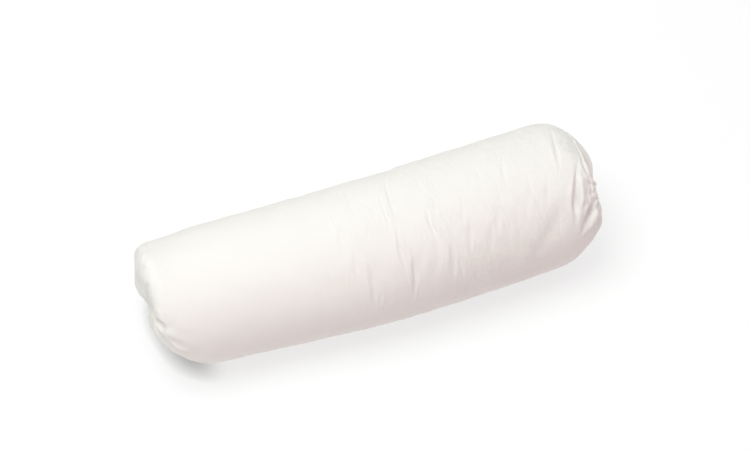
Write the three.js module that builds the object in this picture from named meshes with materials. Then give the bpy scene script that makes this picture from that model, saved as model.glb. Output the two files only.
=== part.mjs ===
// A positioning roll pillow: a tube of white cotton, filled until it is firm and drawn
// together at both ends. It lies on its long side, and its weight presses it flat underneath.
// Millimetres. X runs along the roll, Z is up, and the creased side faces the front, -Y.
// Angles round the roll are in degrees: 0 is the back, 90 the top, 180 the front.
import * as THREE from "three";

const rollLength = 500;
const settling = 5; // how far the filling sinks on the surface it lies on
const pressedHeight = 14; // the weight presses folds out of the cloth up to this height
const cottonColour = 0xf4f2ee;

// The cross section, evenly spaced from the left end to the right. aside is how far the roll
// bends off a straight line.
const sections = [
  { halfWidth: 71, height: 135, aside: 3 },
  { halfWidth: 74.5, height: 139, aside: -3.5 },
  { halfWidth: 78.5, height: 144, aside: -8 },
  { halfWidth: 78.5, height: 146, aside: -5 },
  { halfWidth: 77, height: 143, aside: 2 },
];

// Each end is a dome, deepest at the low front, where the filling has slumped. bluntness is 2 for
// a round dome and more for a square one. The cloth is drawn to a knot, down in a dimple.
const leftEnd = {
  side: -1,
  depth: { mean: 48, change: 22 },
  bluntness: { mean: 2.7, change: -0.75 },
  slump: 228,
  knot: { across: -10, up: 90 },
  dimple: { deep: 13, radius: 26 },
};
const rightEnd = {
  side: 1,
  depth: { mean: 60, change: 10 },
  bluntness: { mean: 2.1, change: -0.2 },
  slump: 228,
  knot: { across: -28, up: 95 },
  dimple: { deep: 13, radius: 23 },
};

// Pleats run out from the knot like spokes, as far as reach. around is measured at the knot.
const pleatStart = 20; // the cloth is drawn too tight to fold nearer to the knot than this
const pleatSpread = 50; // a pleat widens out from the knot up to here
const leftPleats = [
  { around: 12, reach: 74, wide: 8, deep: 2.8 },
  { around: 47, reach: 56, wide: 7, deep: 2.6 },
  { around: 82, reach: 44, wide: 6, deep: 2.4 },
  { around: 120, reach: 46, wide: 8, deep: 4.5 },
  { around: 158, reach: 62, wide: 7, deep: 2.6 },
  { around: 190, reach: 72, wide: 8, deep: 3 },
  { around: 222, reach: 84, wide: 7, deep: 2.6 },
  { around: 256, reach: 78, wide: 8, deep: 2.8 },
  { around: 302, reach: 110, wide: 15, deep: 6 },
  { around: 338, reach: 80, wide: 8, deep: 2.6 },
];
const rightPleats = [
  { around: 8, reach: 84, wide: 8, deep: 3 },
  { around: 38, reach: 64, wide: 7, deep: 3 },
  { around: 74, reach: 40, wide: 6, deep: 2.6 },
  { around: 200, reach: 62, wide: 7, deep: 3.4 },
  { around: 226, reach: 78, wide: 8, deep: 3.2 },
  { around: 252, reach: 96, wide: 8, deep: 2.8 },
  { around: 280, reach: 88, wide: 9, deep: 3.2 },
  { around: 312, reach: 104, wide: 8, deep: 3 },
  { around: 342, reach: 90, wide: 9, deep: 3 },
];

// Folds that lie elsewhere in the skin, each drawn from one place to another. A place is its
// distance along the roll and its angle round it. deep is negative where the fold is a ridge.
const foldTaper = 0.35; // the share of its length over which each end of a fold fades out
const folds = [
  // over the shoulder and the upper front of the right end
  { from: [230, 90], to: [239, 126], wide: 5, deep: 2.6 },
  { from: [221, 104], to: [203, 144], wide: 5.5, deep: 4.5 },
  { from: [236, 134], to: [207, 155], wide: 5, deep: 4 },
  { from: [219, 68], to: [204, 98], wide: 6, deep: 3 },
  { from: [190, 134], to: [160, 154], wide: 13, deep: 3.5 },
  // the rim of the left end
  { from: [-234, 143], to: [-207, 173], wide: 6, deep: -2 },
  // the chain of creases just past the middle
  { from: [27, 48], to: [25, 88], wide: 6, deep: 2 },
  { from: [15, 84], to: [12, 106], wide: 6, deep: 1.8 },
  { from: [17, 114], to: [22, 148], wide: 6, deep: 3 },
  { from: [32, 130], to: [23, 160], wide: 6, deep: 3.6 },
  // the chain on either side of it
  { from: [-43, 74], to: [-37, 118], wide: 7, deep: 1.7 },
  { from: [-28, 116], to: [-32, 136], wide: 6, deep: 1.7 },
  { from: [-17, 126], to: [-23, 162], wide: 7, deep: 2.2 },
  { from: [59, 98], to: [52, 124], wide: 6, deep: 2.8 },
  { from: [70, 126], to: [69, 158], wide: 7, deep: 2.6 },
  { from: [93, 118], to: [91, 138], wide: 6, deep: 1.8 },
  { from: [122, 115], to: [119, 136], wide: 7, deep: 1.6 },
  { from: [142, 80], to: [137, 118], wide: 7, deep: 1.6 },
  { from: [-98, 98], to: [-100, 122], wide: 8, deep: 1.2 },
  // the back
  { from: [-64, 12], to: [-58, 48], wide: 8, deep: 1.8 },
  { from: [44, 8], to: [36, 40], wide: 7, deep: 2.2 },
  { from: [104, -16], to: [111, 26], wide: 7, deep: 2 },
];

// How finely the skin is divided: round the tube, and in rings along it.
const facesAround = 72;
const domeRings = 14;
const plainRings = 10;
const creasedRings = 30;
const creasedFrom = -50; // the tube is nearly smooth from the left end up to here

const quarterTurn = Math.PI / 2;
const turnOf = (angle) => THREE.MathUtils.degToRad(angle);
const ease = (t) => THREE.MathUtils.smoothstep(t, 0, 1);
const bell = (t) => Math.exp(-t * t);

const sectionCurve = new THREE.CatmullRomCurve3(
  sections.map((s) => new THREE.Vector3(s.halfWidth, s.height, s.aside)),
  false,
  "catmullrom",
);

function sectionAt(x) {
  const share = THREE.MathUtils.clamp(x / rollLength + 0.5, 0, 1);
  const { x: halfWidth, y: height, z: aside } = sectionCurve.getPoint(share);
  return { halfWidth, height, aside };
}

// Rounds a height off to the flat underside, without a sharp edge.
function restOnSurface(z) {
  const edge = 3;
  if (z <= -edge) return 0;
  if (z >= edge) return z;
  return (z + edge) ** 2 / (4 * edge);
}

// A point of the tube's side, before any dome, pleat or fold.
function tubePoint(x, turn) {
  const { halfWidth, height, aside } = sectionAt(x);
  const halfHeight = (height + settling) / 2;
  const z = halfHeight - settling + halfHeight * Math.sin(turn);
  return new THREE.Vector3(x, aside + halfWidth * Math.cos(turn), restOnSurface(z));
}

// The depth and the bluntness of a dome at one angle round the roll.
function domeShape(end, turn) {
  const low = Math.cos(turn - turnOf(end.slump));
  const depth = end.depth.mean + end.depth.change * low;
  const bluntness = end.bluntness.mean + end.bluntness.change * low;
  return { depth, bluntness, shoulder: rollLength / 2 - depth };
}

// A point of a dome: along runs from 0 at its shoulder to 1 at its knot.
function domePoint(end, along, turn) {
  const { depth, bluntness, shoulder } = domeShape(end, turn);
  const inward = Math.cos(along * quarterTurn);
  const outward = Math.sin(along * quarterTurn);
  const scale = (inward ** bluntness + outward ** bluntness) ** (-1 / bluntness);
  const opening = along < 1 ? inward * scale : 0;
  const point = new THREE.Vector3(0, end.knot.across, end.knot.up);
  point.lerp(tubePoint(end.side * shoulder, turn), opening);
  const fromKnot = Math.hypot(point.y - end.knot.across, point.z - end.knot.up);
  const sink = end.dimple.deep * bell(fromKnot / end.dimple.radius);
  point.x = end.side * (shoulder + depth * outward * scale - sink);
  return point;
}

// The smooth skin. path runs from -1 at the left knot, past -0.5 and 0.5 at the shoulders, to 1.
function skinPoint(path, turn) {
  if (path < -0.5) return domePoint(leftEnd, (-0.5 - path) * 2, turn);
  if (path > 0.5) return domePoint(rightEnd, (path - 0.5) * 2, turn);
  const from = -domeShape(leftEnd, turn).shoulder;
  const to = domeShape(rightEnd, turn).shoulder;
  return tubePoint(THREE.MathUtils.lerp(from, to, path + 0.5), turn);
}

// The path of a place on the skin that lies x along the roll.
function pathAt(x, turn) {
  const end = x < 0 ? leftEnd : rightEnd;
  const { depth, bluntness, shoulder } = domeShape(end, turn);
  const rise = (Math.abs(x) - shoulder) / depth;
  if (rise > 0) {
    const opening = (1 - Math.min(1, rise) ** bluntness) ** (1 / bluntness);
    return end.side * (0.5 + Math.atan2(rise, opening) / Math.PI);
  }
  const from = -domeShape(leftEnd, turn).shoulder;
  const to = domeShape(rightEnd, turn).shoulder;
  return (x - from) / (to - from) - 0.5;
}

function skinNormal(path, turn) {
  const small = 1e-3;
  const step = skinPoint(Math.min(1, path + small), turn);
  step.sub(skinPoint(Math.max(-1, path - small), turn));
  const swing = skinPoint(path, turn + small).sub(skinPoint(path, turn - small));
  return swing.cross(step).normalize();
}

// A valley with a low ridge on either side, as cloth makes when it has nowhere else to go.
function valley(across, wide) {
  const ridgeAt = 1.7 * wide;
  const ridgeHeight = 0.4;
  return ridgeHeight * bell((Math.abs(across) - ridgeAt) / wide) - bell(across / wide);
}

// The line of a fold, as short straight pieces on the smooth skin.
function foldLine({ from, to }) {
  const pieces = 6;
  return Array.from({ length: pieces + 1 }, (_, i) => {
    const x = THREE.MathUtils.lerp(from[0], to[0], i / pieces);
    const turn = turnOf(THREE.MathUtils.lerp(from[1], to[1], i / pieces));
    return skinPoint(pathAt(x, turn), turn);
  });
}

const foldLines = folds.map(foldLine);

// How far the folds lift or sink the skin at a point.
function foldLift(point) {
  const nearest = new THREE.Vector3();
  let lift = 0;
  folds.forEach(({ wide, deep }, index) => {
    const line = foldLines[index];
    let best = { across: Infinity, along: 0 };
    for (let i = 1; i < line.length; i++) {
      const piece = new THREE.Line3(line[i - 1], line[i]);
      const share = piece.closestPointToPointParameter(point, true);
      const across = piece.at(share, nearest).distanceTo(point);
      if (across < best.across) best = { across, along: (i - 1 + share) / (line.length - 1) };
    }
    const fade = ease(best.along / foldTaper) * ease((1 - best.along) / foldTaper);
    lift += deep * fade * valley(best.across, wide);
  });
  return lift;
}

// How far the pleats of one end lift or sink the skin at a point.
function pleatLift(end, pleats, point) {
  const fromKnot = Math.hypot(point.y - end.knot.across, point.z - end.knot.up);
  const inward = rollLength / 2 - end.side * point.x;
  const run = fromKnot + inward / 2;
  const turn = Math.atan2(point.z - end.knot.up, point.y - end.knot.across);
  let lift = 0;
  for (const { around, reach, wide, deep } of pleats) {
    const swing = turn - turnOf(around);
    const off = Math.atan2(Math.sin(swing), Math.cos(swing));
    const width = THREE.MathUtils.lerp(wide / 3, wide, ease(fromKnot / pleatSpread));
    const fade = ease(run / pleatStart) * ease(2 - (2 * run) / reach);
    lift += deep * fade * valley(off * fromKnot, width);
  }
  return lift;
}

// The finished skin, with nothing below the surface it lies on.
function clothPoint(path, turn) {
  const point = skinPoint(path, turn);
  const free = ease(point.z / pressedHeight);
  const pleating = pleatLift(leftEnd, leftPleats, point) + pleatLift(rightEnd, rightPleats, point);
  point.addScaledVector(skinNormal(path, turn), free * (pleating + foldLift(point)));
  point.z = Math.max(0, point.z);
  return point;
}

// Places of the rings on the path, close together where the cloth is creased.
function ringPaths() {
  const middle = pathAt(creasedFrom, quarterTurn);
  const paths = [];
  for (let i = 1; i < domeRings; i++) paths.push(-1 + i / (2 * domeRings));
  for (let i = 0; i < plainRings; i++) {
    paths.push(THREE.MathUtils.lerp(-0.5, middle, i / plainRings));
  }
  for (let i = 0; i < creasedRings; i++) {
    paths.push(THREE.MathUtils.lerp(middle, 0.5, i / creasedRings));
  }
  for (let i = 0; i < domeRings; i++) paths.push(0.5 + i / (2 * domeRings));
  return paths;
}

// The closed skin: a point at each knot, and rings of points between them.
function rollGeometry() {
  const paths = ringPaths();
  const points = [clothPoint(-1, 0)];
  for (const path of paths) {
    for (let i = 0; i < facesAround; i++) {
      points.push(clothPoint(path, (i / facesAround) * 2 * Math.PI));
    }
  }
  points.push(clothPoint(1, 0));

  const faces = [];
  const at = (ring, i) => 1 + ring * facesAround + (i % facesAround);
  const lastRing = paths.length - 1;
  for (let i = 0; i < facesAround; i++) {
    faces.push(0, at(0, i + 1), at(0, i));
    for (let ring = 0; ring < lastRing; ring++) {
      faces.push(at(ring, i), at(ring, i + 1), at(ring + 1, i + 1));
      faces.push(at(ring, i), at(ring + 1, i + 1), at(ring + 1, i));
    }
    faces.push(points.length - 1, at(lastRing, i), at(lastRing, i + 1));
  }

  const geometry = new THREE.BufferGeometry().setFromPoints(points);
  geometry.setIndex(faces);
  geometry.computeBoundingBox();
  const middle = geometry.boundingBox.getCenter(new THREE.Vector3());
  geometry.translate(-middle.x, -middle.y, -geometry.boundingBox.min.z);
  geometry.computeVertexNormals();
  return geometry;
}

const cotton = new THREE.MeshStandardMaterial({ color: cottonColour, roughness: 0.9, metalness: 0 });
const roll = new THREE.Mesh(rollGeometry(), cotton);
roll.name = "filled_roll";

const pillow = new THREE.Group();
pillow.add(roll);

export default pillow;
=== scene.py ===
# A positioning roll pillow: a tube of white cotton, filled until it is firm and drawn together
# at both ends. It lies on its long side on a pale floor. Lengths are in metres. Angles round
# the roll are in degrees: 0 is the back, 90 the top and 180 the front.
import math

import bpy
import numpy as np
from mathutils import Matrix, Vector


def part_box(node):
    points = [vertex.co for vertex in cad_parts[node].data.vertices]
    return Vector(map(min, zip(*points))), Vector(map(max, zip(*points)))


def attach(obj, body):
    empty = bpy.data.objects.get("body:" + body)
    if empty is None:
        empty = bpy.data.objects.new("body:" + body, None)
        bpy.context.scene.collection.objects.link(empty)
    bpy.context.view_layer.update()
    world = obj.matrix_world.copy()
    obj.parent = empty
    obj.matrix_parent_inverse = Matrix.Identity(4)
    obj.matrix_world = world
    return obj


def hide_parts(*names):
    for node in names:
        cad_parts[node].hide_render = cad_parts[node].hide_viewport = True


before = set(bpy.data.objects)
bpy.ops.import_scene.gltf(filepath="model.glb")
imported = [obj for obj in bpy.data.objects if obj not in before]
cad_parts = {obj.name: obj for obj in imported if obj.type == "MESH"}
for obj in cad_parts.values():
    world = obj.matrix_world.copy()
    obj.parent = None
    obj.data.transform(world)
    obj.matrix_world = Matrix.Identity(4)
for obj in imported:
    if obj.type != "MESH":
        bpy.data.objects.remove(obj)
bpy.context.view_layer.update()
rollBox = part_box("filled_roll")
scene = bpy.context.scene
print("frame loaded")


# Small helpers

def ease(t):
    t = np.clip(t, 0.0, 1.0)
    return t * t * (3.0 - 2.0 * t)


def bell(t):
    return np.exp(-t * t)


def mix(a, b, t):
    return a + (b - a) * t


def length(vectors):
    return np.linalg.norm(vectors, axis=-1)


def readVectors(collection, name):
    values = np.zeros(len(collection) * 3)
    collection.foreach_get(name, values)
    return values.reshape(-1, 3)


def addObject(name, data):
    made = bpy.data.objects.new(name, data)
    scene.collection.objects.link(made)
    return made


class Wire:
    # An output socket that can stand in a sum. Sums of wires and numbers add Math nodes.
    def __init__(self, tree, socket=None):
        self.tree = tree
        self.socket = socket

    def node(self, kind, settings=None, inputs=None, output=0):
        made = self.tree.nodes.new(kind)
        for name, value in (settings or {}).items():
            setattr(made, name, value)
        for name, value in (inputs or {}).items():
            if isinstance(value, Wire):
                self.tree.links.new(value.socket, made.inputs[name])
            else:
                made.inputs[name].default_value = value
        return Wire(self.tree, made.outputs[output])

    def output(self, name):
        return Wire(self.tree, self.socket.node.outputs[name])

    def feed(self, node, name):
        self.tree.links.new(self.socket, node.inputs[name])

    def math(self, operation, *values):
        inputs = dict(enumerate((self, *values)))
        return self.node("ShaderNodeMath", {"operation": operation}, inputs)

    def __add__(self, other):
        return self.math("ADD", other)

    def __sub__(self, other):
        return self.math("SUBTRACT", other)

    def __rsub__(self, other):
        return self.node("ShaderNodeMath", {"operation": "SUBTRACT"}, {0: other, 1: self})

    def __mul__(self, other):
        return self.math("MULTIPLY", other)


def newMaterial(name, values):
    material = bpy.data.materials.new(name)
    material.use_nodes = True
    shader = material.node_tree.nodes["Principled BSDF"]
    for key, value in values.items():
        shader.inputs[key].default_value = value
    return material, shader, Wire(material.node_tree)


def feedBump(height, shader):
    inputs = {"Height": height, "Strength": 1.0, "Distance": 1.0}
    height.node("ShaderNodeBump", None, inputs).feed(shader, "Normal")


# Camera

cameraSetup = {
    "azimuth": -18.5,  # degrees; 0 looks along +Y
    "elevation": 58.0,
    "distance": 2.95,
    "aim": (0.009, 0.016, 0.088),
    "lens": 135.0,  # millimetres
    "sensor": 36.0,
}


def makeCamera():
    data = bpy.data.cameras.new("camera")
    data.lens = cameraSetup["lens"]
    data.sensor_width = cameraSetup["sensor"]
    camera = addObject("camera", data)
    azimuth = math.radians(cameraSetup["azimuth"])
    elevation = math.radians(cameraSetup["elevation"])
    back = Vector((
        math.sin(azimuth) * math.cos(elevation),
        -math.cos(azimuth) * math.cos(elevation),
        math.sin(elevation),
    ))
    camera.location = Vector(cameraSetup["aim"]) + back * cameraSetup["distance"]
    camera.rotation_euler = (-back).to_track_quat("-Z", "Y").to_euler()
    scene.camera = camera


makeCamera()
print("camera placed")


# Floor and light

studio = {
    "floorReach": 6.0,
    "floorColour": (0.30, 0.305, 0.305, 1.0),
    "floorGlow": 0.645,
    "floorRoughness": 0.9,
    "floorGloss": 0.1,
    "skyColour": (1.0, 0.97, 0.968, 1.0),
    "skyLow": 0.0,  # brightness at the horizon
    "skyHigh": 0.97,  # and overhead
    "skyLean": (0.14, 0.18),  # the sky is brighter to the right and behind the roll
    "keyColour": (0.95, 1.0, 0.985),
    "keyPower": 26.5,  # watts
    "keySize": 1.3,
    "keyPlace": (-0.42, 0.04, 2.05),
    "fillColour": (1.0, 0.50, 0.54),
    "fillPower": 9.0,
    "fillSize": 1.0,
    "fillPlace": (0.5, -2.2, 0.35),
    "sideColour": (0.97, 1.0, 1.0),
    "sidePower": 3.0,
    "sideSize": 1.6,
    "sidePlace": (-2.2, -0.5, 0.6),
    "spotColour": (0.98, 1.0, 0.99),
    "spotPower": 42.0,
    "spotSize": 0.15,
    "spotPlace": (-1.7, -1.1, 0.45),
    "spotAim": (-0.240, -0.050, 0.060),
    "spotAngle": 8.0,  # degrees
    "paintedShadowReach": 0.025,  # painted contact shadow: ambient occlusion dims the floor's glow this close to the roll
    "paintedShadowStrong": 1.0,  # by this share under the left end
    "paintedShadowWeak": 0.05,  # and by this share elsewhere
    "paintedShadowFade": (-0.212, -0.176),  # from strong to weak between these places along the roll
    "paintedShadowRays": 8,
}


def makeFloor():
    reach = studio["floorReach"]
    corners = [(-reach, -reach, 0), (reach, -reach, 0), (reach, reach, 0), (-reach, reach, 0)]
    mesh = bpy.data.meshes.new("floor")
    mesh.from_pydata(corners, [], [(0, 1, 2, 3)])
    material, shader, blank = newMaterial("pale_floor", {
        "Base Color": studio["floorColour"],
        "Roughness": studio["floorRoughness"],
        "Specular IOR Level": studio["floorGloss"],
        "Emission Strength": studio["floorGlow"],
    })
    # a painted contact shadow: the glow darkens where ambient occlusion finds the roll near, strongly
    # under the left end and faintly elsewhere
    place = blank.node("ShaderNodeTexCoord", output="Object")
    x = place.node("ShaderNodeSeparateXYZ", None, {0: place}, "X")
    strongUpTo, weakFrom = studio["paintedShadowFade"]
    strength = x.node(
        "ShaderNodeMapRange",
        {"interpolation_type": "SMOOTHSTEP"},
        {
            "Value": x,
            "From Min": strongUpTo,
            "From Max": weakFrom,
            "To Min": studio["paintedShadowStrong"],
            "To Max": studio["paintedShadowWeak"],
        },
    )
    openness = place.node(
        "ShaderNodeAmbientOcclusion",
        {"samples": studio["paintedShadowRays"]},
        {"Distance": studio["paintedShadowReach"]},
        "AO",
    )
    glow = 1.0 - (1.0 - openness) * strength
    glow.feed(shader, "Emission Color")
    mesh.materials.append(material)
    floor = addObject("floor", mesh)


def makeSky():
    world = bpy.data.worlds.new("sky")
    world.use_nodes = True
    tree = world.node_tree
    background = tree.nodes["Background"]
    background.inputs["Color"].default_value = studio["skyColour"]
    direction = Wire(tree).node("ShaderNodeTexCoord", output="Generated")
    up = direction.node("ShaderNodeSeparateXYZ", None, {0: direction}, "Z")
    aside, behind = up.output("X"), up.output("Y")
    toRight, toBack = studio["skyLean"]
    glow = up.node(
        "ShaderNodeMapRange",
        {"interpolation_type": "SMOOTHSTEP"},
        {
            "Value": up + aside * toRight + behind * toBack,
            "To Min": studio["skyLow"],
            "To Max": studio["skyHigh"],
        },
    )
    glow.feed(background, "Strength")
    scene.world = world


def makeLight(name, kind, aim=(0.0, 0.0, 0.0)):
    data = bpy.data.lights.new(name, kind)
    data.energy = studio[name + "Power"]
    data.color = studio[name + "Colour"]
    light = addObject(name, data)
    light.location = studio[name + "Place"]
    light.rotation_euler = (Vector(aim) - light.location).to_track_quat("-Z", "Y").to_euler()
    return data


def makeLights():
    for name in ("key", "fill", "side"):
        panel = makeLight(name, "AREA")
        panel.shape = "DISK"
        panel.size = studio[name + "Size"]
    spot = makeLight("spot", "SPOT", studio["spotAim"])
    spot.shadow_soft_size = studio["spotSize"]
    spot.spot_size = math.radians(studio["spotAngle"])
    spot.spot_blend = 1.0


makeFloor()
makeSky()
makeLights()
scene.view_settings.view_transform = "Standard"
print("floor and lights made")


# The roll's form, the same as the solid's: a tube that is pressed flat underneath, with a dome
# at each end that is drawn in to a knot.

rollForm = {
    "length": 0.5,
    "settling": 0.005,  # how far the filling sinks on the floor
    "floorEdge": 0.003,  # how softly the underside turns flat
    "pressedHeight": 0.014,  # the weight presses folds out of the cloth up to here
    "sections": [  # half width, height and how far aside, evenly spaced from left to right
        (0.0710, 0.135, 0.0030),
        (0.0745, 0.139, -0.0035),
        (0.0785, 0.144, -0.0080),
        (0.0785, 0.146, -0.0050),
        (0.0770, 0.143, 0.0020),
    ],
    "left": {
        "side": -1, "depth": 0.048, "depthChange": 0.022, "blunt": 2.7, "bluntChange": -0.75,
        "slump": 228, "across": -0.010, "up": 0.090, "dimple": 0.011, "dimpleRadius": 0.026,
    },
    "right": {
        "side": 1, "depth": 0.060, "depthChange": 0.010, "blunt": 2.1, "bluntChange": -0.2,
        "slump": 228, "across": -0.028, "up": 0.095, "dimple": 0.013, "dimpleRadius": 0.023,
    },
    "facesAround": 140,
    "closerAround": (45, 178),  # faces lie closer together between these angles
    "closerBy": 1.7,
    "closerFade": 20,  # over this many degrees
    "domeRings": 30,
    "plainRings": 30,
    "creasedRings": 84,
    "creasedFrom": -0.055,  # the tube is nearly smooth from the left end up to here
    "seamAngle": 331,  # the lengthwise seam lies low at the back
    "seamGroove": 0.0013,
    "seamFade": 0.08,  # its groove fades out over this share of the way from middle to knot
}


def sectionAt(x):
    rows = np.array(rollForm["sections"])
    rows = np.vstack([2 * rows[0] - rows[1], rows, 2 * rows[-1] - rows[-2]])
    spans = len(rows) - 3
    place = np.clip(x / rollForm["length"] + 0.5, 0.0, 1.0) * spans
    first = np.minimum(place.astype(int), spans - 1)
    t = (place - first)[..., None]
    a, b, c, d = (rows[first + i] for i in range(4))
    curve = b + 0.5 * t * (c - a + t * (2 * a - 5 * b + 4 * c - d + t * (3 * (b - c) + d - a)))
    return np.moveaxis(curve, -1, 0)


def restOnFloor(z):
    edge = rollForm["floorEdge"]
    return np.where(z >= edge, z, np.maximum(z + edge, 0.0) ** 2 / (4 * edge))


def tubePoint(x, turn):
    halfWidth, height, aside = sectionAt(x)
    halfHeight = (height + rollForm["settling"]) / 2
    z = halfHeight - rollForm["settling"] + halfHeight * np.sin(turn)
    return np.stack([x, aside + halfWidth * np.cos(turn), restOnFloor(z)], axis=-1)


def domeShape(end, turn):
    low = np.cos(turn - math.radians(end["slump"]))
    depth = end["depth"] + end["depthChange"] * low
    blunt = end["blunt"] + end["bluntChange"] * low
    return depth, blunt, rollForm["length"] / 2 - depth


def domePoint(end, along, turn):
    depth, blunt, shoulder = domeShape(end, turn)
    inward = np.cos(along * math.pi / 2)
    outward = np.sin(along * math.pi / 2)
    scale = (inward ** blunt + outward ** blunt) ** (-1 / blunt)
    knot = np.array([0.0, end["across"], end["up"]])
    rim = tubePoint(end["side"] * shoulder, turn)
    point = mix(knot, rim, (inward * scale)[..., None])
    fromKnot = length((point - knot)[..., 1:])
    sink = end["dimple"] * bell(fromKnot / end["dimpleRadius"])
    point[..., 0] = end["side"] * (shoulder + depth * outward * scale - sink)
    return point


def skinPoint(path, turn):
    # path runs from -1 at the left knot, past -0.5 and 0.5 at the shoulders, to 1
    left, right = rollForm["left"], rollForm["right"]
    fromX, toX = -domeShape(left, turn)[2], domeShape(right, turn)[2]
    tube = tubePoint(mix(fromX, toX, np.clip(path, -0.5, 0.5) + 0.5), turn)
    leftDome = domePoint(left, np.clip(-0.5 - path, 0.0, 0.5) * 2, turn)
    rightDome = domePoint(right, np.clip(path - 0.5, 0.0, 0.5) * 2, turn)
    place = path[..., None]
    return np.where(place < -0.5, leftDome, np.where(place > 0.5, rightDome, tube))


def pathAt(x, turn):
    # The path of a place that lies x along the roll.
    left, right = rollForm["left"], rollForm["right"]
    fromX, toX = -domeShape(left, turn)[2], domeShape(right, turn)[2]
    path = (x - fromX) / (toX - fromX) - 0.5
    for end in (left, right):
        depth, blunt, shoulder = domeShape(end, turn)
        rise = np.clip((end["side"] * x - shoulder) / depth, 0.0, 1.0)
        opening = (1 - rise ** blunt) ** (1 / blunt)
        onDome = end["side"] * (0.5 + np.arctan2(rise, opening) / math.pi)
        path = np.where(end["side"] * x > shoulder, onDome, path)
    return path


def skinNormal(path, turn):
    small = 1e-3  # a short way along and round
    step = skinPoint(np.minimum(1, path + small), turn)
    step = step - skinPoint(np.maximum(-1, path - small), turn)
    swing = skinPoint(path, turn + small) - skinPoint(path, turn - small)
    normal = np.cross(swing, step)
    return normal / np.maximum(length(normal), 1e-12)[..., None]


# The broad folds. Each row holds the places that a fold runs through, its half width and its
# depth, which is negative for a ridge. A place is its distance along the roll and its angle
# round it.
folds = {
    "banks": 0.4,  # the height of the low ridges beside a fold or pleat, as a share of its depth
    "banksAt": 1.7,  # their distance from its middle, in widths
    "taper": 0.35,  # the share of its length over which each end of a fold fades out
    "pieces": 6,  # the straight pieces of the line that it follows
    "before": 0.4,  # the share of their depth that they have before the fine creases are laid
    "lines": [
        # over the shoulder and the upper front of the right end
        (((0.230, 90), (0.239, 126)), 0.0050, 0.0026),
        (((0.221, 104), (0.203, 144)), 0.0055, 0.0045),
        (((0.236, 134), (0.207, 155)), 0.0050, 0.0040),
        (((0.219, 68), (0.204, 98)), 0.0060, 0.0030),
        (((0.190, 134), (0.160, 154)), 0.0130, 0.0035),
        # the rim of the left end
        (((-0.234, 143), (-0.207, 173)), 0.0060, -0.0020),
        # the chain of creases just past the middle
        (((0.027, 48), (0.025, 88)), 0.0060, 0.0020),
        (((0.015, 84), (0.012, 106)), 0.0060, 0.0018),
        (((0.017, 114), (0.022, 148)), 0.0060, 0.0030),
        (((0.032, 130), (0.023, 160)), 0.0060, 0.0036),
        # the creases on either side of it
        (((-0.043, 74), (-0.037, 118)), 0.0070, 0.0017),
        (((-0.028, 116), (-0.032, 136)), 0.0060, 0.0017),
        (((-0.017, 126), (-0.023, 162)), 0.0070, 0.0022),
        (((0.059, 98), (0.052, 124)), 0.0060, 0.0028),
        (((0.070, 126), (0.069, 158)), 0.0070, 0.0026),
        (((0.093, 118), (0.091, 138)), 0.0060, 0.0018),
        (((0.122, 115), (0.119, 136)), 0.0070, 0.0016),
        (((0.142, 80), (0.137, 118)), 0.0070, 0.0016),
        (((-0.098, 98), (-0.100, 122)), 0.0080, 0.0012),
        # the back
        (((-0.064, 12), (-0.058, 48)), 0.0080, 0.0018),
        (((0.044, 8), (0.036, 40)), 0.0070, 0.0022),
        (((0.104, -16), (0.111, 26)), 0.0070, 0.0020),
    ],
}


def valley(across, wide):
    # A valley with a low ridge on either side, as cloth makes when it has nowhere else to go.
    off = np.abs(across) / wide
    return folds["banks"] * bell(off - folds["banksAt"]) - bell(across / wide)


def lineOnSkin(places, pieces):
    # A line through two or more places on the smooth skin, as short straight pieces.
    share = np.linspace(0.0, 1.0, pieces + 1)
    stops = np.linspace(0.0, 1.0, len(places))
    x = np.interp(share, stops, [place[0] for place in places])
    turn = np.radians(np.interp(share, stops, [place[1] for place in places]))
    return skinPoint(pathAt(x, turn), turn)


def nearestOnLine(points, line):
    # For each point: the vector from the line to it, and its share of the way along the line.
    nearest = np.full(len(points), np.inf)
    offset = np.zeros_like(points)
    along = np.zeros(len(points))
    pieces = len(line) - 1
    for i in range(pieces):
        way = line[i + 1] - line[i]
        share = np.clip((points - line[i]) @ way / (way @ way), 0.0, 1.0)
        apart = points - line[i] - share[:, None] * way
        distance = length(apart)
        closer = distance < nearest
        nearest = np.where(closer, distance, nearest)
        offset[closer] = apart[closer]
        along = np.where(closer, (i + share) / pieces, along)
    return offset, along


def fadeAt(along, taper):
    return ease(along / taper) * ease((1 - along) / taper)


def foldLift(points):
    lift = np.zeros(len(points))
    for places, wide, deep in folds["lines"]:
        offset, along = nearestOnLine(points, lineOnSkin(places, folds["pieces"]))
        fade = fadeAt(along, folds["taper"])
        lift += folds["before"] * deep * fade * valley(length(offset), wide)
    return lift


# Places where the cloth is slack and lies a little lower, each with its half width and depth.
slackPlaces = [
    ((-0.225, 0.052, 0.115), 0.034, 0.0060),
    ((-0.246, 0.026, 0.087), 0.021, 0.0070),
    ((0.240, 0.002, 0.128), 0.018, 0.0038),
    ((0.241, -0.010, 0.121), 0.010, 0.0026),
    ((0.238, -0.022, 0.118), 0.014, 0.0020),
    ((0.022, 0.052, 0.120), 0.018, 0.0020),
    ((-0.045, 0.052, 0.116), 0.016, 0.0010),
]


def slackLift(points):
    lift = np.zeros(len(points))
    for place, wide, deep in slackPlaces:
        lift -= deep * bell(length(points - place) / wide)
    return lift


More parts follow.
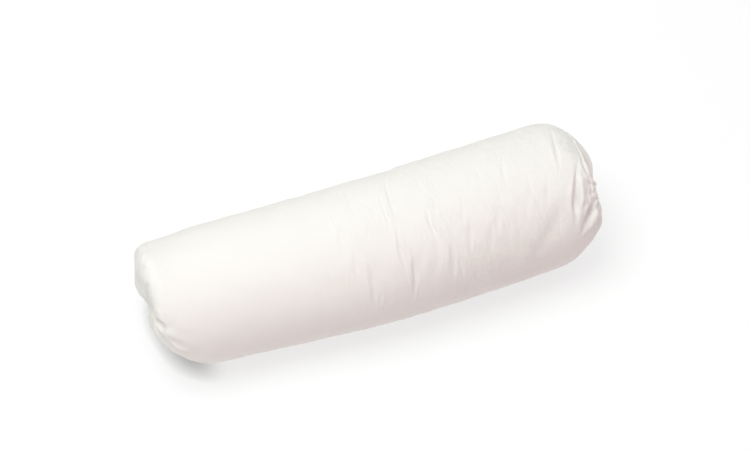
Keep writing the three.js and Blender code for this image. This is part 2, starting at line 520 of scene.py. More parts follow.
# Pleats run out from the knots like spokes. Each row holds a pleat's angle at the knot, how far
# it reaches, its half width and its depth.
pleats = {
    "start": 0.010,  # they reach their full depth this far from the knot
    "spread": 0.050,  # and their full width here
    "narrow": 3,  # how many times narrower they are at the knot
    "left": [
        (12, 0.074, 0.008, 0.0028),
        (47, 0.050, 0.007, 0.0010),
        (82, 0.040, 0.006, 0.0008),
        (126, 0.036, 0.006, 0.0012),
        (158, 0.062, 0.007, 0.0026),
        (190, 0.072, 0.008, 0.0030),
        (222, 0.084, 0.007, 0.0026),
        (256, 0.078, 0.008, 0.0028),
        (302, 0.110, 0.015, 0.0060),
        (338, 0.080, 0.008, 0.0026),
    ],
    "right": [
        (8, 0.084, 0.008, 0.0030),
        (38, 0.064, 0.007, 0.0030),
        (74, 0.040, 0.006, 0.0026),
        (200, 0.062, 0.007, 0.0034),
        (226, 0.078, 0.008, 0.0032),
        (252, 0.096, 0.008, 0.0028),
        (280, 0.088, 0.009, 0.0032),
        (312, 0.104, 0.008, 0.0030),
        (342, 0.090, 0.009, 0.0030),
    ],
}


def aroundKnot(name, points):
    # For each point: its distance from the knot and its angle round it, both seen from the end,
    # and how far in from the end it lies.
    end = rollForm[name]
    y, z = points[:, 1] - end["across"], points[:, 2] - end["up"]
    inward = rollForm["length"] / 2 - end["side"] * points[:, 0]
    return np.hypot(y, z), np.arctan2(z, y), inward


def pleatLift(name, points):
    fromKnot, turn, inward = aroundKnot(name, points)
    run = fromKnot + inward / 2  # the way inwards counts half
    lift = np.zeros(len(points))
    for around, reach, wide, deep in pleats[name]:
        swing = turn - math.radians(around)
        off = np.arctan2(np.sin(swing), np.cos(swing))
        width = mix(wide / pleats["narrow"], wide, ease(fromKnot / pleats["spread"]))
        fade = ease(run / pleats["start"]) * ease(2 - 2 * run / reach)
        lift += deep * fade * valley(off * fromKnot, width)
    return lift


# Close by the knots the cloth lies in many small gathers, which open out into the pleats.
gathers = {
    "count": 17,
    "wander": 0.55,  # how unevenly they are spaced
    "deep": 0.0021,
    "start": 0.003,  # their distances from the knot: where they begin, are deepest and end
    "full": 0.013,
    "reach": 0.052,
    "seed": 5,
    "uneven": 0.3,  # how much they differ in depth
    "round": 1.3,  # a lower value makes the ridges broader and the valleys narrower
    "smoothAbove": (85, 75),  # above the left knot the cloth is smooth: the middle and half width
    "smoothBy": 0.8,
}


def gatherLift(name, points):
    fromKnot, turn, inward = aroundKnot(name, points)
    run = fromKnot + inward / 4  # and here a quarter
    chance = np.random.default_rng(gathers["seed"] + rollForm[name]["side"])
    phase = gathers["count"] * turn
    strength = np.ones(len(points))
    for waves in (1, 2, 3, 5):
        wander = np.sin(waves * turn + chance.uniform(0, 2 * math.pi))
        phase = phase + gathers["wander"] * math.pi / waves * wander
        change = np.sin(waves * turn + chance.uniform(0, 2 * math.pi))
        strength += gathers["uneven"] / math.sqrt(waves) * change
    pleat = 2 * np.abs(np.cos(phase / 2)) - gathers["round"]  # round ridges and sharp valleys
    rise = ease((fromKnot - gathers["start"]) / (gathers["full"] - gathers["start"]))
    fade = rise * ease((gathers["reach"] - run) / (gathers["reach"] - gathers["full"]))
    if name == "left":
        middle, half = gathers["smoothAbove"]
        above = ease(2 - 2 * np.abs(turn - math.radians(middle)) / math.radians(half))
        fade *= 1 - gathers["smoothBy"] * above
    return gathers["deep"] * strength * fade * pleat


def turnsAround():
    # The angles of the faces' edges, from the seam round to the seam again.
    fine = np.linspace(0, 360, 721)  # every half degree
    start, end = rollForm["closerAround"]
    angle = (fine + rollForm["seamAngle"]) % 360
    fade = rollForm["closerFade"]
    closer = ease((angle - start + fade) / fade) * ease((end + fade - angle) / fade)
    density = 1 + (rollForm["closerBy"] - 1) * closer
    swept = np.concatenate([[0.0], np.cumsum((density[1:] + density[:-1]) / 2)])
    shares = np.arange(rollForm["facesAround"]) / rollForm["facesAround"]
    return np.radians(rollForm["seamAngle"] + np.interp(shares * swept[-1], swept, fine))


def rollGrid():
    # The cloth as rings of points from knot to knot, and the two knots.
    dome = rollForm["domeRings"]
    inDome = np.arange(1, dome) / (2 * dome)
    middle = float(pathAt(np.array(rollForm["creasedFrom"]), np.array(math.pi / 2)))
    plain = np.linspace(-0.5, middle, rollForm["plainRings"], endpoint=False)
    creased = np.linspace(middle, 0.5, rollForm["creasedRings"])
    paths = np.concatenate([-1 + inDome, plain, creased, 0.5 + inDome])
    path, turn = (grid.ravel() for grid in np.meshgrid(paths, turnsAround(), indexing="ij"))
    knots = np.array([-1.0, 1.0])
    path = np.concatenate([path, knots])
    turn = np.concatenate([turn, np.zeros(2)])
    points = skinPoint(path, turn)
    lift = foldLift(points) + slackLift(points)
    for name in ("left", "right"):
        lift += pleatLift(name, points) + gatherLift(name, points)
    lift *= ease(points[:, 2] / rollForm["pressedHeight"])
    lift[-2:] = 0.0
    groove = rollForm["seamGroove"] * ease((1 - np.abs(paths)) / rollForm["seamFade"])
    lift[:-2].reshape(len(paths), -1)[:, 0] -= groove
    points += skinNormal(path, turn) * lift[:, None]
    points[:, 2] = np.maximum(points[:, 2], 0.0)
    middle = (points.min(axis=0) + points.max(axis=0)) / 2
    solidMiddle = (np.array(rollBox[0]) + np.array(rollBox[1])) / 2
    shift = solidMiddle - middle
    shift[2] = 0.0
    return points + shift, len(paths), shift


def rollFaces(rings):
    around = rollForm["facesAround"]
    first = rings * around
    grids = np.meshgrid(np.arange(rings - 1), np.arange(around), indexing="ij")
    ring, i = (grid.ravel() for grid in grids)
    nextOne = (i + 1) % around
    quads = np.stack([
        ring * around + i,
        ring * around + nextOne,
        (ring + 1) * around + nextOne,
        (ring + 1) * around + i,
    ], axis=1)
    faces = [tuple(quad) for quad in quads.tolist()]
    last = (rings - 1) * around
    for i in range(around):
        after = (i + 1) % around
        faces.append((first, after, i))
        faces.append((first + 1, last + i, last + after))
    return faces


def asGrid(points):
    # The points of the cloth as rings, without the two knots.
    return points[:-2].reshape(-1, rollForm["facesAround"], 3)


def clothUv(mesh, points):
    # u follows the cloth from knot to knot and v goes round it, both in metres.
    grid = asGrid(points)
    rings, around = grid.shape[:2]
    toKnot = [length(grid[row] - points[knot]).mean() for row, knot in ((0, -2), (-1, -1))]
    steps = length(np.diff(grid, axis=0)).mean(axis=1)
    u = toKnot[0] + np.concatenate([[0.0], np.cumsum(steps)])
    widest = grid[rings // 2]
    swept = np.concatenate([[0.0], np.cumsum(length(np.roll(widest, -1, axis=0) - widest))])
    girth = swept[-1]
    layer = mesh.uv_layers.new(name="cloth")
    uv = np.zeros((len(mesh.loops), 2))
    corner = np.zeros(len(mesh.loops), int)
    mesh.loops.foreach_get("vertex_index", corner)
    ring, i = corner // around, corner % around
    ends = corner >= rings * around
    uv[:, 0] = np.where(ends, 0.0, u[np.minimum(ring, rings - 1)])
    uv[:, 1] = swept[i]
    for polygon in mesh.polygons:
        loops = list(polygon.loop_indices)
        places = [i[k] for k in loops if not ends[k]]
        if max(places) - min(places) > around / 2:
            for k in loops:
                if not ends[k] and i[k] == 0:
                    uv[k, 1] = girth
        for k in loops:
            if ends[k]:
                others = [uv[j, 1] for j in loops if j != k]
                uv[k] = (0.0 if corner[k] == rings * around else u[-1] + toKnot[1], sum(others) / 2)
    layer.data.foreach_set("uv", uv.ravel())


def makeRoll():
    points, rings, shift = rollGrid()
    mesh = bpy.data.meshes.new("cotton_roll")
    mesh.from_pydata(points.tolist(), [], rollFaces(rings))
    clothUv(mesh, points)
    mesh.shade_smooth()
    return addObject("cotton_roll", mesh), points, rings, shift


roll, startPoints, rings, shift = makeRoll()
print("roll laid out:", len(startPoints), "points")


# Settling the cloth: it was cut a little longer and wider than the surface it covers, so when
# the filling presses on it, it buckles into its own wrinkles.

settle = {
    "spareAround": 0.003,  # spare cloth, as a share, where the roll is smooth
    "spareAlong": 0.001,
    "spareCreased": 0.045,  # the same, lengthwise, where it is creased
    "creasedFrom": (-0.075, -0.035),
    "creasedTo": (0.130, 0.185),
    "spareGathered": 0.10,  # the same, round the domes
    "domesFrom": 0.165,  # this far from the middle of the roll the domes' spare cloth begins
    "domesOver": 0.045,  # and this much further out it is full
    "upperFrom": 0.02,  # at this height the creased side's spare cloth begins
    "upperOver": 0.05,  # and this much higher it is full
    "leastStep": 0.2,  # no stretch of the cut is shorter than this share of its length
    "nudge": 0.001,  # small unevenness for the wrinkles to start from
    "seed": 11,
    "heldWithin": 0.004,  # the knots are held fast, and so is what lies on the floor
    "heldFade": 0.006,
    "heldBelow": 0.004,
    "cloth": {
        "quality": 5,
        "mass": 0.3,
        "tension_stiffness": 15,
        "compression_stiffness": 15,
        "shear_stiffness": 5,
        "bending_stiffness": 0.5,
        "tension_damping": 5,
        "compression_damping": 5,
        "shear_damping": 5,
        "bending_damping": 0.5,
        "air_damping": 1.0,
        "use_pressure": True,
        "uniform_pressure_force": 25.0,
    },
    "frames": 20,
    "spacing": 0.0034,  # from one point of the cloth to the next
    "flatWithin": 0.022,  # only wrinkles narrower than about this are kept
    "mostMove": 0.006,
}


def cutShape(points):
    # The cloth as a plain tube, before it was filled, with the same points.
    grid = asGrid(points)
    stepAround = length(np.roll(grid, -1, axis=1) - grid)
    girth = stepAround.sum(axis=1)
    x = grid[..., 0]
    domes = ease((np.abs(x) - settle["domesFrom"]) / settle["domesOver"]).mean(axis=1)
    radius = girth * (1 + mix(settle["spareAround"], settle["spareGathered"], domes)) / (2 * math.pi)
    swept = np.cumsum(stepAround, axis=1) - stepAround
    turn = math.radians(rollForm["seamAngle"]) + swept / girth[:, None] * 2 * math.pi
    start, end = settle["creasedFrom"], settle["creasedTo"]
    creased = ease((x - start[0]) / (start[1] - start[0])) * ease((end[1] - x) / (end[1] - end[0]))
    upper = ease((grid[..., 2] - settle["upperFrom"]) / settle["upperOver"])
    spare = mix(settle["spareAlong"], settle["spareCreased"], creased * upper)
    step = length(np.diff(grid, axis=0))
    rise = np.diff(radius)[:, None]
    step = np.sqrt(np.maximum(step ** 2 - rise ** 2, (settle["leastStep"] * step) ** 2))
    step *= 1 + (spare[1:] + spare[:-1]) / 2
    along = np.concatenate([np.zeros_like(x[:1]), np.cumsum(step, axis=0)])
    along -= along[rings // 2]
    cut = np.stack([along, radius[:, None] * np.cos(turn), radius[:, None] * np.sin(turn)], axis=-1)
    knots = [(cut[0, :, 0].mean(), 0.0, 0.0), (cut[-1, :, 0].mean(), 0.0, 0.0)]
    return np.vstack([cut.reshape(-1, 3), knots])


def smoothed(field, times):
    for _ in range(times):
        field = (np.roll(field, 1, axis=1) + 2 * field + np.roll(field, -1, axis=1)) / 4
        padded = np.concatenate([field[:1], field, field[-1:]])
        field = (padded[:-2] + 2 * field + padded[2:]) / 4
    return field


def settleCloth(roll, points):
    chance = np.random.default_rng(settle["seed"])
    outward = asGrid(readVectors(roll.data.vertices, "normal"))
    nudge = smoothed(chance.normal(0, 1, (*outward.shape[:2], 1)), 3)
    started = points.copy()
    started[:-2] += (outward * nudge * settle["nudge"]).reshape(-1, 3)
    started[:, 2] = np.maximum(started[:, 2], 0.0)
    roll.data.vertices.foreach_set("co", started.ravel())
    roll.shape_key_add(name="lying")
    cut = roll.shape_key_add(name="cut")
    cut.data.foreach_set("co", cutShape(points).ravel())
    held = roll.vertex_groups.new(name="held")
    knots = np.array([points[-2], points[-1]])
    near = np.minimum(*(length(points - knot) for knot in knots))
    byKnot = 1 - ease((near - settle["heldWithin"]) / settle["heldFade"])
    byFloor = 1 - ease(points[:, 2] / settle["heldBelow"])
    weight = np.round(np.maximum(byKnot, byFloor), 2)
    for value in np.unique(weight):
        if value > 0:
            chosen = np.nonzero(weight == value)[0]
            held.add(chosen.tolist(), float(value), "REPLACE")
    cloth = roll.modifiers.new("settle", "CLOTH")
    for name, value in settle["cloth"].items():
        setattr(cloth.settings, name, value)
    cloth.settings.effector_weights.gravity = 0.0
    cloth.settings.vertex_group_mass = "held"
    cloth.settings.rest_shape_key = cut
    cloth.collision_settings.use_collision = False
    cloth.collision_settings.use_self_collision = False
    cloth.point_cache.frame_start = 1
    cloth.point_cache.frame_end = settle["frames"]
    for number in range(1, settle["frames"] + 1):
        scene.frame_set(number)
    evaluated = roll.evaluated_get(bpy.context.evaluated_depsgraph_get())
    settled = readVectors(evaluated.data.vertices, "co")
    roll.modifiers.remove(cloth)
    roll.shape_key_clear()
    roll.vertex_groups.clear()
    scene.frame_set(1)
    return settled


def keepWrinkles(points, settled):
    # The roll keeps its form: only the wrinkles that it made stay, and none moves far.
    move = asGrid(settled - points)
    print("moved by up to", round(float(length(move).max()) * 1000, 1), "mm")
    move = move - smoothed(move, int(2 * (settle["flatWithin"] / settle["spacing"]) ** 2))
    size = length(move)[..., None]
    most = settle["mostMove"]
    move = move * (np.tanh(size / most) * most / np.maximum(size, 1e-9))
    result = points.copy()
    result[:-2] += move.reshape(-1, 3)
    print("wrinkles of up to", round(float(length(move).max()) * 1000, 1), "mm")
    return result


settled = settleCloth(roll, startPoints)
points = keepWrinkles(startPoints, settled)
points[:, 2] = np.maximum(points[:, 2], 0.0)
roll.data.vertices.foreach_set("co", points.ravel())
roll.data.update()
finer = roll.modifiers.new("finer", "SUBSURF")
finer.levels = 1
finer.render_levels = 1
evaluated = roll.evaluated_get(bpy.context.evaluated_depsgraph_get())
fineMesh = bpy.data.meshes.new_from_object(evaluated)
roll.modifiers.remove(finer)
roll.data = fineMesh
fineMesh.name = "cotton_roll"
print("cloth settled:", len(fineMesh.polygons), "faces")


# Fine creases, laid on the settled cloth. The rows are like those of the folds. A valley
# has its lips as well, the heights of the low ridges to its left and its right as shares of its
# depth, and its tail where that isn't the usual one.
creases = {
    "taper": 0.5,
    "tail": 0.38,  # how far a valley runs on at each end, as a share of its length
    "narrow": 0.5,  # its width at the tips, as a share
    "lipsAt": 1.8,  # the lips' distance from its middle, in widths
    "follow": 0.010,  # how far off the line's own level a crease still marks the cloth
    "pieces": 12,
    "within": (4.5, 0.004),  # only cloth this close changes: so many widths, and this much more
    "lines": [
        # left of the middle
        (((-0.044, 78), (-0.046, 98)), 0.0021, 0.0006, (0.2, 0.5)),
        (((-0.039, 96), (-0.043, 120)), 0.0030, 0.0006, (0.3, 0.3)),
        (((-0.031, 116), (-0.034, 131)), 0.0022, 0.0009, (0.3, 0.3)),
        (((-0.020, 130), (-0.022, 159)), 0.0027, 0.0011, (0.7, 0.5)),
        (((-0.021, 118), (-0.024, 140)), 0.0018, -0.0004),
        (((-0.014, 150), (-0.017, 165)), 0.0020, 0.0006, (0.2, 0.4)),
        # the chain that starts at the back of the top
        (((0.024, 48), (0.012, 84)), 0.0020, 0.0005, (0.2, 0.3)),
        (((0.027, 60), (0.022, 90)), 0.0026, 0.0018, (0.5, 0.3)),
        (((0.014, 81), (0.012, 101)), 0.0021, 0.0014, (0.3, 0.5)),
        (((0.008, 91), (0.005, 107)), 0.0019, 0.0013, (0.2, 0.6)),
        (((0.008, 101), (0.006, 116)), 0.0022, 0.0004, (0.3, 0.3)),
        (((0.018, 111), (0.015, 124), (0.015, 141)), 0.0021, 0.0016, (0.3, 0.7)),
        (((0.022, 120), (0.019, 146)), 0.0023, -0.0008),
        (((0.027, 129), (0.025, 145), (0.020, 162)), 0.0023, 0.0016, (0.5, 0.5)),
        (((0.032, 139), (0.029, 162)), 0.0019, -0.0006),
        # right of it
        (((0.043, 111), (0.041, 124)), 0.0019, 0.0006, (0.3, 0.3)),
        (((0.056, 97), (0.053, 110), (0.056, 123)), 0.0025, 0.0019, (0.2, 0.6)),
        (((0.064, 99), (0.059, 125)), 0.0021, -0.0007),
        (((0.060, 121), (0.063, 136), (0.058, 155)), 0.0023, -0.0015),
        (((0.054, 123), (0.050, 144)), 0.0026, 0.0007, (0.2, 0.2)),
        (((0.069, 128), (0.067, 145)), 0.0025, 0.0007, (0.2, 0.3)),
        (((0.067, 145), (0.065, 158)), 0.0021, 0.0007, (0.2, 0.5)),
        (((0.074, 145), (0.074, 159)), 0.0019, 0.0005, (0.3, 0.3)),
        (((0.093, 120), (0.087, 139)), 0.0023, 0.0009, (0.2, 0.6)),
        (((0.096, 129), (0.098, 145)), 0.0020, -0.0005),
        (((0.124, 118), (0.120, 133)), 0.0026, 0.0008, (0.2, 0.3)),
        (((0.115, 127), (0.108, 142)), 0.0032, 0.0005, (0.2, 0.2)),
        (((0.147, 81), (0.143, 96)), 0.0021, 0.0007, (0.4, 0.3)),
        (((0.141, 81), (0.137, 103)), 0.0020, -0.0005),
        (((0.166, 104), (0.160, 120)), 0.0028, 0.0006, (0.2, 0.2)),
        (((0.158, 114), (0.152, 133)), 0.0027, 0.0005, (0.2, 0.4)),
        # the nearly smooth left third
        (((-0.101, 102), (-0.103, 122)), 0.0027, 0.0006, (0.2, 0.2)),
        (((-0.107, 119), (-0.104, 128)), 0.0030, -0.0003),
        (((-0.084, 135), (-0.077, 147)), 0.0026, 0.0004, (0.2, 0.4)),
        (((-0.060, 136), (-0.052, 139)), 0.0025, 0.0004, (0.2, 0.2)),
        (((-0.129, 151), (-0.130, 164)), 0.0020, 0.0004, (0.3, 0.3)),
        (((-0.116, 159), (-0.117, 168)), 0.0020, 0.0004, (0.3, 0.4)),
        # the left end
        (((-0.246, 112), (-0.236, 134)), 0.0024, -0.0014),
        (((-0.245, 134), (-0.240, 150)), 0.0040, 0.0020, (0.2, 0.4)),
        (((-0.240, 157), (-0.229, 168), (-0.213, 174)), 0.0026, -0.0030),
        # the right end
        (((0.211, 66), (0.203, 98)), 0.0024, 0.0010, (0.7, 0.3)),
        (((0.210, 54), (0.199, 90)), 0.0024, -0.0006),
        (((0.230, 52), (0.234, 83), (0.231, 101), (0.235, 113), (0.231, 129)),
         0.0025, 0.0034, (0.4, 0.4)),
        (((0.239, 104), (0.244, 126)), 0.0026, 0.0025, (0.3, 0.3)),
        (((0.223, 98), (0.214, 119), (0.208, 133), (0.203, 150)), 0.0034, 0.0056, (0.35, 0.5), 0.08),
        (((0.234, 135), (0.222, 148), (0.206, 162)), 0.0046, 0.0046, (0.2, 0.6), 0.05),
        (((0.231, 127), (0.224, 142)), 0.0023, -0.0010),
        (((0.201, 126), (0.183, 142), (0.160, 160)), 0.0090, 0.0014, (0.3, 0.2)),
    ],
}

# Small puckers at chance places, where the cloth is creased.
puckers = {
    "count": 130,
    "seed": 23,
    "along": (-0.070, 0.185),
    "around": (5, 160),
    "reach": (10, 30),  # degrees
    "lean": 0.009,  # how far its ends may lie apart along the roll
    "straight": 3,  # a higher value bends them less
    "wide": (0.0017, 0.0032),
    "deep": (0.00012, 0.0005),
    "sides": [-0.5, 1.0],  # about half of them are ridges, half as high
    "lips": (0.1, 0.5),
}


def chancePuckers():
    chance = np.random.default_rng(puckers["seed"])
    rows = []
    for _ in range(puckers["count"]):
        x = chance.uniform(*puckers["along"])
        angle = chance.uniform(*puckers["around"])
        reach = chance.uniform(*puckers["reach"])
        lean = chance.uniform(-1, 1) * puckers["lean"]
        bend = chance.uniform(-1, 1) * puckers["lean"] / puckers["straight"]
        middle = (x + lean / 2 + bend, angle + reach / 2)
        side = chance.choice(puckers["sides"])
        wide = chance.uniform(*puckers["wide"])
        deep = side * chance.uniform(*puckers["deep"])
        lips = (chance.uniform(*puckers["lips"]), chance.uniform(*puckers["lips"]))
        rows.append((((x, angle), middle, (x + lean, angle + reach)), wide, deep, lips))
    return rows


def withTails(places, tail):
    # The same line, run on at both ends.
    places = np.array(places, float)
    runOn = tail * (len(places) - 1)
    places[0] += runOn * (places[0] - places[1])
    places[-1] += runOn * (places[-1] - places[-2])
    return places


def layCrease(points, normals, places, wide, deep, lips=(0, 0), tail=creases["tail"]):
    if deep > 0:
        places = withTails(places, tail)
    line = lineOnSkin(places, creases["pieces"]) + shift
    reach = creases["within"][0] * wide + creases["within"][1]
    inside = np.all((points > line.min(axis=0) - reach) & (points < line.max(axis=0) + reach), axis=1)
    chosen = np.nonzero(inside)[0]
    if len(chosen) == 0:
        return
    offset, along = nearestOnLine(points[chosen], line)
    normal = normals[chosen]
    off = (offset * normal).sum(axis=1)
    offset = offset - normal * off[:, None]
    piece = np.clip((along * (len(line) - 1)).astype(int), 0, len(line) - 2)
    way = line[piece + 1] - line[piece]
    side = np.sign((np.cross(normal, way) * offset).sum(axis=1))
    fade = fadeAt(along, creases["taper"])
    across = side * length(offset) / (wide * mix(creases["narrow"], 1, fade))
    left, right = lips
    beside = creases["lipsAt"]
    profile = left * bell(across + beside) + right * bell(across - beside) - bell(across)
    lift = deep * fade * profile * bell(off / creases["follow"])
    lift *= ease(points[chosen, 2] / rollForm["pressedHeight"])
    points[chosen] += normal * lift[:, None]


def layCreases(roll):
    mesh = roll.data
    points = readVectors(mesh.vertices, "co")
    normals = readVectors(mesh.vertex_normals, "vector")
    for crease in creases["lines"] + chancePuckers():
        layCrease(points, normals, *crease)
    points[:, 2] = np.maximum(points[:, 2], 0.0)
    mesh.vertices.foreach_set("co", points.ravel())
    mesh.update()


layCreases(roll)
print("creases laid")


# Cotton. Each noise holds its scale along the roll and round it, in ripples to a metre, and
# where it isn't the usual one its detail and roughness.
cottonFinish = {
    "colour": (0.800, 0.786, 0.752, 1.0),
    "shade": (0.765, 0.742, 0.700, 1.0),  # a darker tone: the cloth's own in patches and on thick threads, painted shade in the weave's hollows and at the knots
    "mottleNoise": (16.0, 13.0, 3.0),
    "mottleShade": 0.45,  # these four say how much of the darker tone shows, and where; the hollows' and knots' shares are painted shade
    "slubShade": 0.18,
    "hollowPaintedShade": 0.25,
    "knotPaintedShade": 0.5,
    "lighter": 0.18,  # and this takes some of it off again
    "roughness": 0.87,
    "roughnessNoise": (60.0, 50.0),
    "roughnessRange": 0.08,
    "sheen": 0.05,
    "pitch": 0.00042,  # from one thread to the next
    "weaveDeep": 0.00007,
    "crossover": 0.3,  # how far a thread stands out where it passes over another
    "slubNoise": (1900.0, 45.0),
    "slubRange": (0.60, 0.80),
    "slubDeep": 0.00004,
    "patchNoise": (34.0, 26.0, 1.0),
    "patchRange": (0.42, 0.66),
    "rippleNoise": (150.0, 38.0, 3.0, 0.55),
    "rippleSharp": 7.0,
    "rippleSoft": 0.8,
    "crossNoise": (90.0, 120.0),
    "crossShare": 0.35,
    "wrinkleDeep": 0.00030,
    "wrinklesFrom": (-0.130, -0.040),  # along the roll: none before, all after
    "knotFrom": (0.222, 0.246),  # the weave fades out close by the knots, and the painted shade at the knots comes in
}


def cottonMaterial():
    look = cottonFinish
    material, shader, blank = newMaterial("cotton", {"Sheen Weight": look["sheen"]})
    uv = blank.node("ShaderNodeUVMap", {"uv_map": "cloth"})
    u = uv.node("ShaderNodeSeparateXYZ", None, {0: uv}, "X")
    v = u.output("Y")
    place = blank.node("ShaderNodeTexCoord", output="Object")
    x = place.node("ShaderNodeSeparateXYZ", None, {0: place}, "X")

    def noise(alongU, alongV, detail=2.0, rough=0.5):
        point = u.node("ShaderNodeCombineXYZ", None, {"X": u * alongU, "Y": v * alongV})
        inputs = {"Vector": point, "Scale": 1.0, "Detail": detail, "Roughness": rough}
        return point.node("ShaderNodeTexNoise", {"noise_dimensions": "2D"}, inputs)

    def ramp(value, start, end):
        inputs = {"Value": value, "From Min": start, "From Max": end}
        return value.node("ShaderNodeMapRange", {"interpolation_type": "SMOOTHSTEP"}, inputs)

    # plain weave: each thread passes over the next one and under the one after
    turn = math.pi / look["pitch"]
    warp, weft = (u * turn).math("SINE"), (v * turn).math("SINE")
    warpUp, weftUp = warp.math("ABSOLUTE"), weft.math("ABSOLUTE")
    over = (warp * weft).math("SIGN")
    atKnot = ramp(x.math("ABSOLUTE"), *look["knotFrom"])
    away = 1 - atKnot
    weave = (warpUp * weftUp + (warpUp - weftUp) * over * look["crossover"]) * away

    # threads that are now and then thicker
    thin, long = look["slubNoise"]
    slubs = ramp(noise(thin, long), *look["slubRange"]) + ramp(noise(long, thin), *look["slubRange"])

    # fine wrinkles round the roll, where it is creased
    here = ramp(x, *look["wrinklesFrom"]) * away
    patches = ramp(noise(*look["patchNoise"]), *look["patchRange"])
    ripple = noise(*look["rippleNoise"])
    crossing = noise(*look["crossNoise"])
    flank = ((ripple - 0.5) * look["rippleSharp"]).math("ABSOLUTE").math("MINIMUM", 1.0)
    wrinkle = (1 - flank) * patches + ripple * look["rippleSoft"] + crossing * look["crossShare"]
    wrinkle = wrinkle * here

    height = weave * look["weaveDeep"] + slubs * away * look["slubDeep"]
    height = height + wrinkle * look["wrinkleDeep"]
    feedBump(height, shader)

    # the darker tone: the cloth's own in soft patches and on thick threads, painted shade in the
    # weave's hollows and at the knots
    shade = noise(*look["mottleNoise"]) * look["mottleShade"] - look["lighter"]
    shade = shade + slubs * look["slubShade"] + (0.5 - weave) * look["hollowPaintedShade"]
    # painted shade, darker in the knot dimples of the gathered ends
    shade = shade + atKnot * look["knotPaintedShade"]
    mixed = shade.node("ShaderNodeMix", {"data_type": "RGBA"}, {"Factor": shade}, 2)
    mixed.socket.node.inputs[6].default_value = look["colour"]
    mixed.socket.node.inputs[7].default_value = look["shade"]
    mixed.feed(shader, "Base Color")
    varied = noise(*look["roughnessNoise"]) * look["roughnessRange"]
    (varied + (look["roughness"] - look["roughnessRange"] / 2)).feed(shader, "Roughness")
    return material


roll.data.materials.append(cottonMaterial())
print("cotton made")


# The row of stitches that holds the seam down.
seam = {
    "beside": 0.0026,  # from the seam to the stitches
    "ends": 0.215,  # the stitches run from -ends to ends
    "stitch": 0.0022,  # the part of a stitch that shows
    "pitch": 0.0030,
    "thread": 0.00068,
    "flat": 0.8,  # its height, as a share of its width
    "sunk": 0.00005,
    "uneven": 0.06,
    "seed": 3,
    "segments": 8,
    "rings": 6,
}


def seamLine():
    # Places beside the seam on the finished cloth, and the way outwards from each.
    around = rollForm["facesAround"]
    vertices = roll.data.vertices
    places, outward = [], []
    for ring in range(rings):
        here, beside = (Vector(vertices[ring * around + i].co) for i in (0, 1))
        if abs(here.x) > seam["ends"]:
            continue
        guess = here + (beside - here).normalized() * seam["beside"]
        _, place, normal, _ = roll.closest_point_on_mesh(guess)
        places.append(place - normal * seam["sunk"])
        outward.append(normal)
    return places, outward


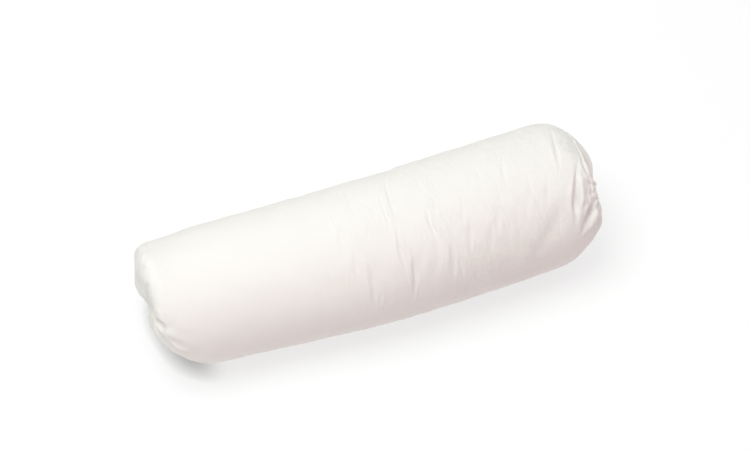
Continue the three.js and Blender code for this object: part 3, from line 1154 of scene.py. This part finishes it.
def stitchTree():
    tree = bpy.data.node_groups.new("seam_stitches", "GeometryNodeTree")
    tree.interface.new_socket("Line", in_out="INPUT", socket_type="NodeSocketGeometry")
    for name in ("Pitch", "Stitch", "Thread", "Uneven"):
        tree.interface.new_socket(name, in_out="INPUT", socket_type="NodeSocketFloat")
    tree.interface.new_socket("Cotton", in_out="INPUT", socket_type="NodeSocketMaterial")
    tree.interface.new_socket("Stitches", in_out="OUTPUT", socket_type="NodeSocketGeometry")
    blank = Wire(tree)
    given = blank.node("NodeGroupInput")
    curve = given.node("GeometryNodeMeshToCurve", None, {"Mesh": given})
    spaced = curve.node(
        "GeometryNodeResampleCurve",
        {"mode": "LENGTH"},
        {"Curve": curve, "Length": given.output("Pitch")},
    )
    tangent = blank.node("GeometryNodeInputTangent")
    outward = blank.node(
        "GeometryNodeInputNamedAttribute", {"data_type": "FLOAT_VECTOR"}, {"Name": "outward"}
    )
    chance = blank.node(
        "FunctionNodeRandomValue",
        {"data_type": "FLOAT_VECTOR"},
        {"Min": (-1.0, -1.0, -1.0), "Max": (1.0, 1.0, 1.0), "Seed": seam["seed"]},
    )
    wobble = chance.node(
        "ShaderNodeVectorMath", {"operation": "SCALE"}, {0: chance, "Scale": given.output("Uneven")}
    )
    way = tangent.node("ShaderNodeVectorMath", {"operation": "ADD"}, {0: tangent, 1: wobble})
    lengthwise = way.node("FunctionNodeAlignRotationToVector", {"axis": "X"}, {"Vector": way})
    turned = lengthwise.node(
        "FunctionNodeAlignRotationToVector",
        {"axis": "Z", "pivot_axis": "X"},
        {"Rotation": lengthwise, "Vector": outward},
    )
    ball = blank.node(
        "GeometryNodeMeshUVSphere",
        None,
        {"Segments": seam["segments"], "Rings": seam["rings"], "Radius": 0.5},
    )
    thread = given.output("Thread")
    size = thread.node(
        "ShaderNodeCombineXYZ",
        None,
        {"X": given.output("Stitch"), "Y": thread, "Z": thread * seam["flat"]},
    )
    stitch = ball.node("GeometryNodeTransform", None, {"Geometry": ball, "Scale": size})
    row = spaced.node(
        "GeometryNodeInstanceOnPoints",
        None,
        {"Points": spaced, "Instance": stitch, "Rotation": turned},
    )
    real = row.node("GeometryNodeRealizeInstances", None, {"Geometry": row})
    dressed = real.node(
        "GeometryNodeSetMaterial", None, {"Geometry": real, "Material": given.output("Cotton")}
    )
    result = tree.nodes.new("NodeGroupOutput")
    dressed.feed(result, "Stitches")
    return tree


threadFinish = {
    "colour": (0.80, 0.785, 0.75, 1.0),
    "ply": 0.00055,  # from one twist of the thread to the next
    "plyDeep": 0.00005,
    "roughness": 0.62,
    "roughnessRange": 0.06,
    "sheen": 0.08,
}


def threadMaterial():
    look = threadFinish
    constants = {"Base Color": look["colour"], "Sheen Weight": look["sheen"]}
    material, shader, blank = newMaterial("thread", constants)
    place = blank.node("ShaderNodeTexCoord", output="Object")
    x = place.node("ShaderNodeSeparateXYZ", None, {0: place}, "X")
    ply = (x * (math.pi / look["ply"])).math("SINE").math("ABSOLUTE")
    feedBump(ply * look["plyDeep"], shader)
    (ply * look["roughnessRange"] + look["roughness"]).feed(shader, "Roughness")
    return material


def makeStitches():
    places, outward = seamLine()
    mesh = bpy.data.meshes.new("seam_line")
    mesh.from_pydata(places, [(i, i + 1) for i in range(len(places) - 1)], [])
    layer = mesh.attributes.new("outward", "FLOAT_VECTOR", "POINT")
    layer.data.foreach_set("vector", [value for normal in outward for value in normal])
    line = addObject("seam_line", mesh)
    tree = stitchTree()
    modifier = line.modifiers.new("stitches", "NODES")
    modifier.node_group = tree
    values = {
        "Pitch": seam["pitch"],
        "Stitch": seam["stitch"],
        "Thread": seam["thread"],
        "Uneven": seam["uneven"],
        "Cotton": threadMaterial(),
    }
    for item in tree.interface.items_tree:
        if item.name in values:
            modifier[item.identifier] = values[item.name]
    bpy.context.view_layer.update()
    evaluated = line.evaluated_get(bpy.context.evaluated_depsgraph_get())
    stitches = bpy.data.meshes.new_from_object(evaluated)
    stitches.name = "seam_stitches"
    stitches.shade_smooth()
    bpy.data.objects.remove(line)
    return addObject("seam_stitches", stitches)


stitches = makeStitches()
print("seam stitched:", len(stitches.data.polygons), "faces")

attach(stitches, "root")

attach(roll, "root")
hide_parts("filled_roll")
